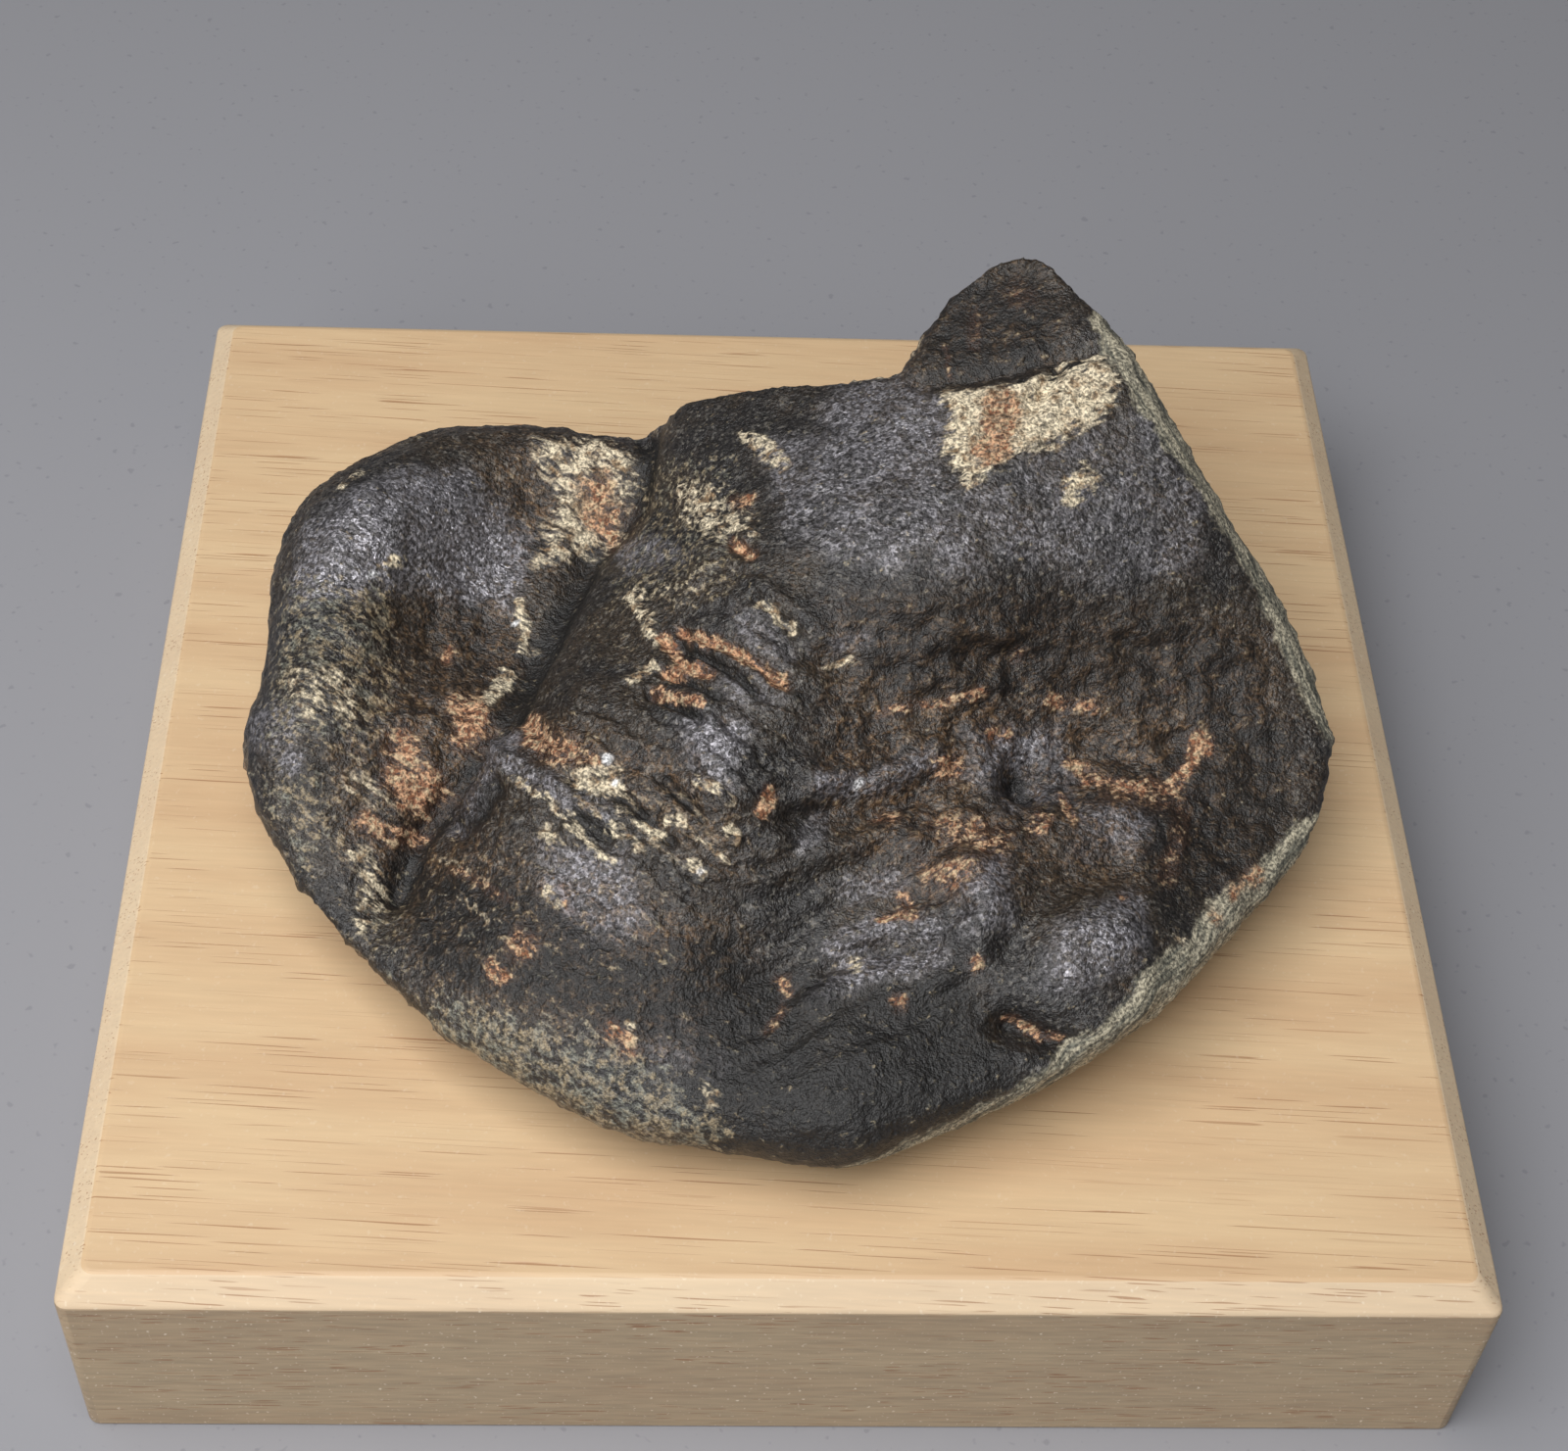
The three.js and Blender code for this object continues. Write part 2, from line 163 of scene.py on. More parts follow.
# Orange and tan iron stain, in cracks and hollows
RUST = [
    line(0.75, 1.5, (16, 23.5), (15.7, 22.2)),
    line(0.85, 1.1, (14.4, 19.8), (15.4, 20.2)),
    area(0.8, (-16.6, 18.6), (-14, 19.8), (-12.9, 16.4), (-14, 13.8), (-16, 15)),
    area(0.95, (-25.2, 1), (-23, 0.9), (-22.5, -0.6), (-23.6, -3), (-24.9, -2.7)),
    area(
        0.95, (-30, -3.8), (-28, -4.6), (-25.8, -4.3), (-25.4, -6.5), (-26.8, -8),
        (-28.6, -7.3), (-30, -5.7),
    ),
    line(0.7, 0.7, (-31.2, -8.2), (-29.6, -9.4), (-27.3, -9.4)),
    line(0.6, 1.6, (-28.6, -3)),
    line(0.75, 0.5, (-25.7, 4.5)),
    area(
        0.7, (-19.5, -2.6), (-18.6, -0.5), (-17.4, -1.4), (-14.7, -2.6), (-13.4, -4),
        (-16.3, -4.3), (-18, -3.5),
    ),
    line(0.9, 0.8, (-18.8, -1.2)),
    line(0.95, 0.45, (-8.1, 6), (-5, 5), (-3, 3.9), (-1.3, 2.6), (-0.3, 1.9)),
    line(0.8, 0.55, (-9.3, 5.3), (-8.1, 3.8), (-7, 3.2), (-6.1, 3)),
    line(0.8, 0.5, (-9.2, 2.9), (-7, 3.2)),
    line(0.7, 0.4, (-10.1, 1.7), (-8.5, 1.2), (-6.5, 0.2)),
    line(0.85, 0.55, (-4.1, 12.6), (-2.9, 11.8)),
    line(0.7, 0.8, (-3.4, 16.1)),
    line(0.56, 0.4, (6.8, 0.3), (8.6, 0.7)),
    line(0.56, 0.4, (9.6, 0.7), (12, 1.2), (14.2, 1.9)),
    line(0.64, 0.55, (19.6, 1.2), (22.8, 0.9)),
    line(0.6, 0.6, (15, -1.3), (16, -1.2)),
    line(0.64, 0.65, (21.3, -3.2), (22.5, -4.3)),
    line(0.68, 0.5, (23, -4.6), (26, -5), (29, -4.8), (30.4, -3.2), (31, -1.6)),
    line(0.6, 1.1, (31.3, -1.8)),
    area(0.4, (23, -5), (30, -5.4), (29, -6.8), (23.4, -6.6)),
    line(0.56, 0.4, (20.3, -6), (20.6, -8)),
    line(0.56, 0.8, (18.1, -8.1)),
    area(0.54, (10, -7.3), (13.5, -7.1), (16, -8.6), (15, -10), (10.4, -9)),
    area(0.48, (9, -10.4), (14, -10.6), (12, -12.8), (9.2, -12.2)),
    line(0.6, 0.9, (11.1, -3.8), (12.2, -3.7)),
    line(0.64, 0.65, (8.2, -13.1), (8.6, -14.2)),
    line(0.56, 0.45, (6.4, -14.9), (9, -14.2)),
    line(0.85, 0.5, (-1.8, -5.6), (-2.3, -7.1)),
    line(0.52, 0.6, (6.6, -7.4), (7.5, -7.1)),
    line(0.32, 0.7, (29.3, -7), (28.2, -10), (27.5, -11.6)),
    line(0.6, 0.35, (15.4, -21.2), (18.3, -22.2), (19.4, -22.8)),
    line(0.85, 0.6, (-20.9, -18.2), (-20.5, -18.9)),
    line(0.55, 1.2, (-19, -16.6)),
    line(0.6, 0.6, (13, -17.5)),
    line(0.5, 0.35, (-24.4, -11.6), (-22.6, -12.4), (-20.4, -13.4)),
    line(0.5, 0.35, (-16.4, -12.4), (-15.8, -13.8)),
    line(0.4, 0.3, (12.1, 28.6), (12.3, 26.4)),
    line(0.27, 0.5, (14.6, 31.6), (14.2, 28.6)),
    line(0.24, 1.2, (18, 33)),
    line(0.48, 0.5, (23.5, -13)),
    line(0.56, 0.75, (31, -14.2)),
    line(0.56, 0.7, (34.8, -11.3), (32.6, -12.9)),
    line(0.6, 0.6, (-0.6, -19), (-0.3, -19.6)),
    line(0.48, 0.55, (7.7, -20.2)),
    line(0.45, 0.35, (-1.7, -22.2), (-0.6, -20.9)),
    line(0.5, 1.0, (-12.4, -22.6), (-11.4, -23.4)),
    line(0.4, 0.5, (17.1, 4.6)),
    line(0.4, 0.5, (29, 2.4)),
]

# Rough ground with a soft brown tint
WASH = [
    area(0.9, (-19, -1), (-13.5, -2), (-7.6, -3.6), (-4.4, -7.6), (-4, -11), (-9, -9), (-14, -5)),
    area(0.8, (3, 8), (16, 9), (36, 7), (39, -4), (33, -12), (20, -11), (8, -14), (2, -6)),
    area(0.9, (-29, -9), (-22, -9.6), (-14, -12), (-3, -16), (-6, -24), (-14, -23), (-26, -20)),
    area(0.8, (-33, 8), (-26, 9), (-20, 9), (-21, 2), (-26, -9), (-34, -6), (-34, 0)),
    area(0.8, (-24, 22), (-13, 23), (-12.6, 14), (-20, 10), (-22, 15)),
    area(0.9, (-34, -2), (-28, 0), (-21.5, 3), (-22, -3), (-26.5, -11), (-31, -13), (-34, -8)),
    area(0.9, (9.6, 26), (20, 28), (21, 31), (19.4, 36), (12.4, 34)),
]

# Where the surface is lumpy instead of worn smooth
ROUGH = [
    area(1.0, (3, 8.6), (16, 9.6), (36, 8), (38, -8), (31, -13), (20, -11), (8, -14), (2, -6)),
    area(0.8, (-33, 8), (-26, 9), (-20, 9), (-21, 2), (-26, -9), (-34, -6), (-34, 0)),
    area(0.7, (-22, 22), (-13, 23), (-12.6, 14), (-20, 10)),
    area(0.6, (-20, -2), (-5, -3), (-3, -11), (-12, -12), (-22, -8)),
    area(0.6, (-12, 18), (-3, 19), (-2, 8), (-12, 8)),
]

# Painted glints: single clear grains that flash white, painted as white spots
PAINTED_SPARKLES = [
    line(1.0, 0.34, (-13.2, -3.5)),
    line(1.0, 0.25, (-12.6, -5.2)),
    line(1.0, 0.24, (4.6, -5.1)),
    line(0.8, 0.22, (-20.8, 6.9)),
    line(0.7, 0.22, (-31.6, 10.3)),
    line(0.7, 0.22, (-6.5, -11.3)),
]

# Painted sheen: facets that catch the light, painted a bluish grey sheen
PAINTED_SHEEN = [
    line(1.0, 3.4, (6.4, 22.3), (8.6, 22)),
    area(0.8, (-2, 21), (10, 21), (12, 14), (7, 10.4), (0, 12.6)),
    area(0.6, (9.6, 17.4), (13.4, 17), (14, 10.8), (10.4, 9.8)),
    area(1.15, (-37, 14), (-31, 18.6), (-25, 19), (-20.5, 14), (-21, 8), (-28, 9.6), (-38, 8)),
    area(0.5, (13, 17), (24, 22.4), (27, 24), (31.6, 17), (31, 11.6), (24, 10), (14, 12)),
    area(1.0, (-8.2, -0.4), (-3.4, -0.8), (-4.4, -5.2), (-6.2, -5.2)),
    area(0.7, (-5.6, 3.4), (-2.4, 2.4), (-1, 0.9), (-4.6, 0.6)),
    area(0.65, (-4.2, 7.6), (-2.4, 7.6), (-0.2, 5.2), (-0.6, 3.6), (-4, 5.4)),
    area(1.0, (-13, 13), (-9.6, 13.6), (-8, 11.6), (-12, 10.8)),
    line(0.9, 0.9, (-20.4, -2.6), (-22.6, -5.2), (-24.6, -8.2)),
    line(0.8, 0.8, (-20.8, -3.5), (-18, -5.2), (-15.8, -6.4), (-13.4, -7.4)),
    area(0.7, (-18, -9.6), (-12, -10.2), (-10, -15), (-14.6, -17), (-17.4, -13.4)),
    line(0.9, 0.75, (2, -5.2), (6, -5), (9, -3.6), (10.2, -3)),
    line(0.9, 0.9, (3, -17), (6, -15.3), (10, -15.4)),
    line(0.9, 0.9, (2, -20), (5, -18.2), (10.4, -17)),
    line(0.6, 0.6, (0.6, -9.6), (2.6, -7.4)),
    line(0.5, 0.8, (4, -12.6), (7.6, -12)),
    area(1.0, (12.2, -11.6), (15, -10.2), (15.4, -14.4), (11.4, -15.4)),
    area(1.0, (19.8, -14.4), (24.8, -12.8), (25, -16.4), (20.4, -19.4), (17.6, -18.8), (18.4, -16)),
    area(0.55, (20.6, -6.6), (27.4, -6.8), (26.6, -9.4), (20.6, -9.8)),
    area(0.85, (13.6, -1.4), (20.4, -1.2), (21.4, -5.8), (16, -6.8), (13.2, -4.4)),
    line(0.6, 1.9, (-38.2, -1.6)),
    line(0.9, 0.9, (-36.4, -4)),
    line(0.45, 1.7, (-8, -23.4)),
    line(0.5, 1.2, (-5.4, -24.8)),
    line(0.5, 0.7, (3.4, 5), (5.2, 5.6)),
]

# Zones worn down to pale grey-green flecks
FLECKS = [
    area(0.45, (-39, 10.5), (-30, 10), (-29, 2), (-31, -3), (-39, -2.4)),
    area(0.42, (-40, -5), (-34, -4.4), (-32, -10), (-35.6, -13)),
    area(
        0.55, (-25, -20), (-18, -21.4), (-12, -23), (-8, -25.4), (-4, -29), (-8, -33),
        (-22, -29), (-27, -23),
    ),
    area(0.26, (-33, -12), (-28, -13), (-26, -21), (-32, -18)),
    area(0.35, (-12, 20), (-4, 20), (-4, 9), (-13, 8)),
    area(0.14, (-27, -9), (-15, -9), (-8, -14), (-9, -20), (-22, -20), (-28, -14)),
]

# Painted shade in the hollows, pits, slots, groove floor and turned-away faces; brown-black ground
DARK_GROUND_AND_PAINTED_SHADE = [
    line(1.0, 0.4, (-9.4, 3), (-7, 2), (-5.4, 1)),
    line(1.0, 0.4, (-10.4, 1.4), (-8.5, 0.4), (-6.5, -0.8)),
    line(1.0, 0.4, (-8.2, 5), (-5.6, 3.8), (-3.8, 2.6), (-2.4, 1.2)),
    line(0.9, 0.4, (-9, -5), (-6.4, -7.6)),
    line(0.9, 0.4, (-12, -6.4), (-8.4, -9.4)),
    line(0.9, 0.4, (-15.4, -7.6), (-13, -9)),
    line(
        1.0, 1.0, (-10.9, 22), (-11.9, 16), (-15.4, 12.2), (-18.3, 5.4), (-20.6, 0.2),
        (-23.4, -4.6), (-26.6, -9.4), (-28.6, -13.6),
    ),
    line(0.9, 0.7, (-21.4, -5.6), (-22.6, -7), (-24.2, -8.8)),
    area(0.65, (3.6, 8.6), (16, 9.6), (28, 8.4), (36, 6), (36, -1), (24, 1.6), (6, 1.4)),
    area(0.92, (-28, -12), (-20, -12), (-11, -17), (-3, -15), (-6, -24), (-14, -22), (-26, -19)),
    area(1.0, (-7, -17), (4, -19.6), (12, -18.4), (16, -25), (8, -33), (-7, -31)),
    area(0.8, (26, -7), (31, 0), (39, 0), (38, -7), (34, -11), (27, -14.4)),
    line(1.0, 1.5, (17.4, -5)),
    area(0.6, (14, -4), (20, -2.6), (22, -6), (18, -9), (13, -7)),
    line(1.0, 0.9, (15.6, -21.6), (17.6, -22.4), (18.8, -23)),
    area(0.9, (9.6, 25.4), (12, 25.4), (19.8, 27.4), (21, 31), (19.4, 36), (12.4, 34)),
    line(1.0, 0.4, (20.6, 27.2), (19.8, 26), (19, 24.8), (18.2, 23.6)),
    line(0.8, 0.5, (20.2, 27), (22.2, 27.5), (24.2, 27.6)),
    area(0.25, (-31, 8.4), (-24, 9), (-22, 4), (-26, 2), (-31, 4)),
    area(0.5, (-37, -3.6), (-33, -3), (-34, -7.6), (-37, -6.6)),
    line(0.7, 0.3, (3.2, -16.5), (6.4, -17), (10, -16.4)),
    line(0.6, 0.35, (-1, 9.7), (1, 7.8), (2.8, 6.2)),
]

# Where the marks are finest, the surface gets a mesh of half the size
FINE_AREAS = [
    area(
        1.0, (-13, 3), (-8, 10), (-4, 14), (-1, 10.6), (2, 7), (1, 1), (-3, -11), (-8, -14),
        (-20, -8), (-22, -2),
    ),
    area(1.0, (10, -1), (20, 0), (24, -4), (20, -9), (14, -9), (10, -5)),
    area(1.0, (12, -20), (20, -20.6), (22, -23), (18, -26), (12, -23.6)),
    area(1.0, (9, 30), (26, 31), (27, 22), (12, 16), (9, 20)),
]

# Ridges and hollows: the strength is the height in millimetres, below zero for a hollow
RELIEF = [
    # the sharp floor of the twin groove and the notch at its lower end
    line(
        -1.2, 0.9, (-10.9, 23), (-11.9, 16), (-15.4, 12.2), (-18.3, 5.4), (-20.6, 0.2),
        (-23.6, -4.6), (-26.8, -9.4), (-28.6, -13.6),
    ),
    line(-1.0, 0.8, (-21.6, -5.8), (-22.8, -7.4), (-24.4, -9)),
    # two ribs that fork from the groove
    line(0.7, 1.0, (-20.4, -2.6), (-22.6, -5.2), (-24.6, -8.2), (-27.2, -11)),
    line(0.7, 1.0, (-20.8, -3.5), (-18, -5.2), (-15.8, -6.4), (-13.4, -7.4)),
    # slots broken into the left panel along the twin plane
    line(-0.9, 0.4, (-8.1, 6), (-5, 5), (-3, 3.9), (-1.3, 2.6), (-0.3, 1.9)),
    line(-0.8, 0.5, (-9.3, 5.3), (-8.1, 3.8), (-7, 3.2), (-6.1, 3)),
    line(-1.0, 0.35, (-9.4, 3), (-7, 2), (-5.4, 1)),
    line(-1.0, 0.35, (-10.4, 1.4), (-8.5, 0.4), (-6.5, -0.8)),
    line(-0.8, 0.45, (-2.6, 8.3), (-1.2, 7.4), (0.2, 6.2)),
    line(-1.0, 0.35, (-8.2, 5), (-5.6, 3.8), (-3.8, 2.6), (-2.4, 1.2)),
    line(-0.7, 0.45, (-4.1, 12.6), (-2.9, 11.8)),
    line(-0.6, 0.45, (-15.4, -7.6), (-13, -9)),
    line(-0.6, 0.45, (-9, -5), (-6.4, -7.6)),
    line(-0.6, 0.45, (-12, -6.4), (-8.4, -9.4)),
    # the crest above the valley, and the plateau's broken lower edge
    line(0.9, 1.9, (-6.6, 0), (-5.6, -3), (-5.2, -6)),
    line(0.6, 1.2, (-2.4, 9), (0, 7), (2, 5.4)),
    line(-0.8, 1.1, (-1, 6.8), (1.6, 4.6), (4, 3.4)),
    # ledges and hollows of the lower middle
    line(0.9, 1.2, (1.6, -4.9), (6, -4.7), (9, -3.3), (10.4, -2.8)),
    line(-0.9, 1.3, (0.4, -7.4), (5, -7), (9.6, -5.6)),
    line(0.7, 1.2, (2.4, -9.8), (6, -9), (9, -8.8)),
    line(0.8, 1.2, (3, -16.8), (6, -15.2), (10, -15.2)),
    line(-0.7, 1.0, (3, -18), (6.4, -17), (10, -16.6)),
    line(0.6, 1.2, (2, -20), (5, -18.8), (10.4, -18)),
    line(1.0, 1.5, (12.4, -11), (13.8, -13), (13, -15.4)),
    # the rounded bulge and the hollow behind it
    line(1.0, 3.0, (20, -16.6), (23, -15.2)),
    line(-0.9, 1.4, (15.4, -16.4), (17.2, -13.4), (20, -11.4), (24, -10.6)),
    line(0.7, 1.6, (20, -8), (24, -7.6), (27.6, -8)),
    # the pit, the cavity in the front edge and smaller pits
    line(-2.1, 1.5, (17.4, -5)),
    line(0.5, 1.2, (14.2, -3), (15, -6.4), (18.6, -7.4)),
    line(-1.6, 1.1, (15.2, -21.6), (17.4, -22.3), (19.4, -23)),
    line(-0.7, 1.3, (13.6, 4.6), (17, 4)),
    line(-0.6, 1.1, (25.6, 5.2), (28, 4.6)),
    line(-0.7, 1.2, (22.4, -1.8), (26, -2.4), (29.4, -1.4)),
    # the step where the peak's own facet meets the broad face
    line(-0.7, 0.6, (20.6, 27.2), (19.8, 26), (19, 24.8), (18.2, 23.6)),
    line(-0.8, 0.8, (10, 25.6), (13, 26), (17, 26.8), (20.4, 28), (24, 28.4)),
    # the knob's low humps
    line(0.6, 3.2, (-31, 15), (-26, 15.6)),
    line(-0.6, 2.2, (-28, 7), (-25, 5)),
    line(0.5, 2.4, (-35, 2), (-33, 5)),
]

# Stepped growth ledges: where they are, which way they run, and their spacing and height
LEDGES = [
    {
        "where": area(1.0, (-26, -1), (-12, 2), (-2, 10), (1, 2), (-3, -13), (-14, -20), (-27, -18)),
        "run_degrees": -33,
        "pitch_mm": 1.9,
        "height_mm": 0.45,
    },
    {
        "where": area(1.0, (-2, -3), (12, 0), (13, -8), (14, -18), (9, -24), (-4, -25), (-3, -12)),
        "run_degrees": 26,
        "pitch_mm": 2.3,
        "height_mm": 0.6,
    },
    {
        "where": area(0.8, (5, 10), (36, 8), (38, -2), (20, 0), (4, 1)),
        "run_degrees": 6,
        "pitch_mm": 2.6,
        "height_mm": 0.5,
    },
    {
        "where": area(0.8, (-8, -20), (14, -21), (10, -30), (-8, -31)),
        "run_degrees": 24,
        "pitch_mm": 2.8,
        "height_mm": 0.14,
    },
]


class SpecimenStage(bpy.types.PropertyGroup):
    """Floor, lights and camera."""

    floor_colour: bpy.props.FloatVectorProperty(
        name="Floor", description="Colour of the plain floor", subtype="COLOR", size=4,
        default=srgb("#97979c"), min=0, max=1,
    )
    key_power: bpy.props.FloatProperty(
        name="Overhead light", description="Power of the large soft light", unit="POWER",
        default=2.55, min=0,
    )
    front_power: bpy.props.FloatProperty(
        name="Front light", description="Power of the weak light in front", unit="POWER",
        default=1.3, min=0,
    )
    world_strength: bpy.props.FloatProperty(
        name="Room light", description="Strength of the even light of the room",
        default=0.1, min=0,
    )


class SpecimenBlock(bpy.types.PropertyGroup):
    """The display block."""

    edge_round: bpy.props.FloatProperty(
        name="Sanded edge", description="Radius that sanding leaves on the block's edges",
        subtype="DISTANCE", unit="LENGTH", default=0.28 * MM, min=0,
    )
    wood_light: bpy.props.FloatVectorProperty(
        name="Light wood", description="Colour of the pale wood between the pores",
        subtype="COLOR", size=4, default=srgb("#dcbe96"), min=0, max=1,
    )
    wood_warm: bpy.props.FloatVectorProperty(
        name="Warm wood", description="Colour of the warmer growth bands",
        subtype="COLOR", size=4, default=srgb("#d2b089"), min=0, max=1,
    )
    pore_colour: bpy.props.FloatVectorProperty(
        name="Pores", description="Colour of the short open pores",
        subtype="COLOR", size=4, default=srgb("#935c36"), min=0, max=1,
    )


class SpecimenStone(bpy.types.PropertyGroup):
    """The rutile crystal."""

    mesh_size: bpy.props.FloatProperty(
        name="Mesh size", description="Size of one face of the worn surface",
        subtype="DISTANCE", unit="LENGTH", default=0.45 * MM, min=0.2 * MM,
    )
    relief: bpy.props.FloatProperty(
        name="Relief", description="How strongly the surface is broken up", default=1.0, min=0,
    )
    dark_colour: bpy.props.FloatVectorProperty(
        name="Dark stone", description="Colour of the fresh dark mineral",
        subtype="COLOR", size=4, default=srgb("#23201f"), min=0, max=1,
    )
    brown_colour: bpy.props.FloatVectorProperty(
        name="Brown stone", description="Colour of the weathered brown mineral",
        subtype="COLOR", size=4, default=srgb("#322a22"), min=0, max=1,
    )
    # Painted sheen: the colour painted on the facets that catch the light
    painted_sheen_colour: bpy.props.FloatVectorProperty(
        name="Sheen", description="Colour of the facets that catch the light",
        subtype="COLOR", size=4, default=srgb("#9d9a9f"), min=0, max=1,
    )
    cream_colour: bpy.props.FloatVectorProperty(
        name="Cream crust", description="Colour of the pale crust",
        subtype="COLOR", size=4, default=srgb("#d6c8ac"), min=0, max=1,
    )
    rust_colour: bpy.props.FloatVectorProperty(
        name="Iron stain", description="Colour of the orange stain",
        subtype="COLOR", size=4, default=srgb("#bd9270"), min=0, max=1,
    )
    fleck_colour: bpy.props.FloatVectorProperty(
        name="Flecks", description="Colour of the worn grey-green flecks",
        subtype="COLOR", size=4, default=srgb("#8c8d80"), min=0, max=1,
    )


def add_node(tree, kind, inputs=(), **settings):
    """Adds a node with its settings. An input is a value, a socket or a node to link from."""
    node = tree.nodes.new(kind)
    for name, value in settings.items():
        setattr(node, name, value)
    for socket, source in inputs.items() if isinstance(inputs, dict) else enumerate(inputs):
        if isinstance(source, bpy.types.Node):
            source = next(output for output in source.outputs if output.enabled)
        if isinstance(source, bpy.types.NodeSocket):
            tree.links.new(source, node.inputs[socket])
        else:
            node.inputs[socket].default_value = source
    return node


def new_material(name):
    """An empty node material, with its tree and its Object coordinates."""
    material = bpy.data.materials.new(name)
    material.use_nodes = True
    tree = material.node_tree
    tree.nodes.clear()
    return material, tree, add_node(tree, "ShaderNodeTexCoord").outputs["Object"]


def per_mm(size_mm):
    """The scale of a texture whose features are this many millimetres across."""
    return 1 / (size_mm * MM)


def add_object(name, mesh):
    """Puts a mesh into the scene as an object at the origin."""
    thing = bpy.data.objects.new(name, mesh)
    bpy.context.scene.collection.objects.link(thing)
    return thing


def merged_copy(node_name, name):
    """A copy of a CAD node's mesh with its loose triangles merged."""
    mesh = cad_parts[node_name].data.copy()
    mesh.name = name
    mesh.materials.clear()
    shape = bmesh.new()
    shape.from_mesh(mesh)
    bmesh.ops.remove_doubles(shape, verts=shape.verts, dist=MERGE_DISTANCE)
    shape.to_mesh(mesh)
    shape.free()
    return mesh


def to_face(point, centre=FACE_CENTRE):
    """A point in the broad face's own coordinates: right, up the face and out of it."""
    return Matrix.Rotation(-FACE_LEAN, 3, "X") @ (Vector(point) - centre)


def smoothstep(low, high, value):
    """0 below low, 1 above high and a smooth rise between them."""
    share = np.clip((value - low) / (high - low), 0, 1)
    return share * share * (3 - 2 * share)


def fractal(points, size_mm, octaves, seed):
    """Fractal noise of about -1 to 1 at each point, points in millimetres."""
    shift = Vector((seed * 17.3, seed * 5.9, seed * 11.1))
    return np.array(
        [noise.fractal(Vector(p) / size_mm + shift, 0.8, 2.1, octaves) for p in points]
    )


def distance_to_line(places, points):
    """How far each place on the face is from a line through points."""
    if len(points) == 1:
        return np.linalg.norm(places - np.array(points[0]), axis=1)
    nearest = np.full(len(places), np.inf)
    for start, end in zip(points, points[1:]):
        start, along = np.array(start, float), np.subtract(end, start)
        share = np.clip((places - start) @ along / (along @ along), 0, 1)
        away = places - start - share[:, None] * along
        nearest = np.minimum(nearest, np.linalg.norm(away, axis=1))
    return nearest


def depth_inside(places, outline):
    """How far each place is inside a closed outline, negative outside it."""
    distance = distance_to_line(places, [*outline, outline[0]])
    inside = np.zeros(len(places), bool)
    for (u0, v0), (u1, v1) in zip(outline, [*outline[1:], outline[0]]):
        if v0 == v1:
            continue
        crosses = (v0 > places[:, 1]) != (v1 > places[:, 1])
        at = u0 + (places[:, 1] - v0) * (u1 - u0) / (v1 - v0)
        inside ^= crosses & (places[:, 0] < at)
    return np.where(inside, distance, -distance)


def coverage(places, mark, softness=0.7):
    """How much one mark covers each place, from 0 to its strength.

    The softness is how far an outline fades to either side, in millimetres.
    """
    if "outline" in mark:
        edge = depth_inside(places, mark["outline"])
        return mark["strength"] * smoothstep(-softness, softness, edge)
    reach = distance_to_line(places, mark["points"]) / mark["half_width"]
    return mark["strength"] * (1 - smoothstep(0.5, 1.5, reach))


def covered(places, marks, softness=0.7):
    """How much any of the marks covers each place."""
    return np.max([coverage(places, mark, softness) for mark in marks], axis=0)


def swell(places, form):
    """Height in millimetres of one ridge or hollow of the relief."""
    reach = distance_to_line(places, form["points"]) / form["half_width"]
    return form["strength"] * np.exp(-reach * reach)


def ledge_height(places, ledges, wander):
    """Height of stepped ledges: each rises gently and ends in a short drop."""
    run = math.radians(ledges["run_degrees"])
    across = -places[:, 0] * math.sin(run) + places[:, 1] * math.cos(run)
    step = (across + wander) / ledges["pitch_mm"]
    phase = step - np.floor(step)
    drop_share = 0.25
    profile = np.where(phase < 1 - drop_share, phase / (1 - drop_share), (1 - phase) / drop_share)
    return ledges["height_mm"] * (profile - 0.5) * coverage(places, ledges["where"], 1.5)


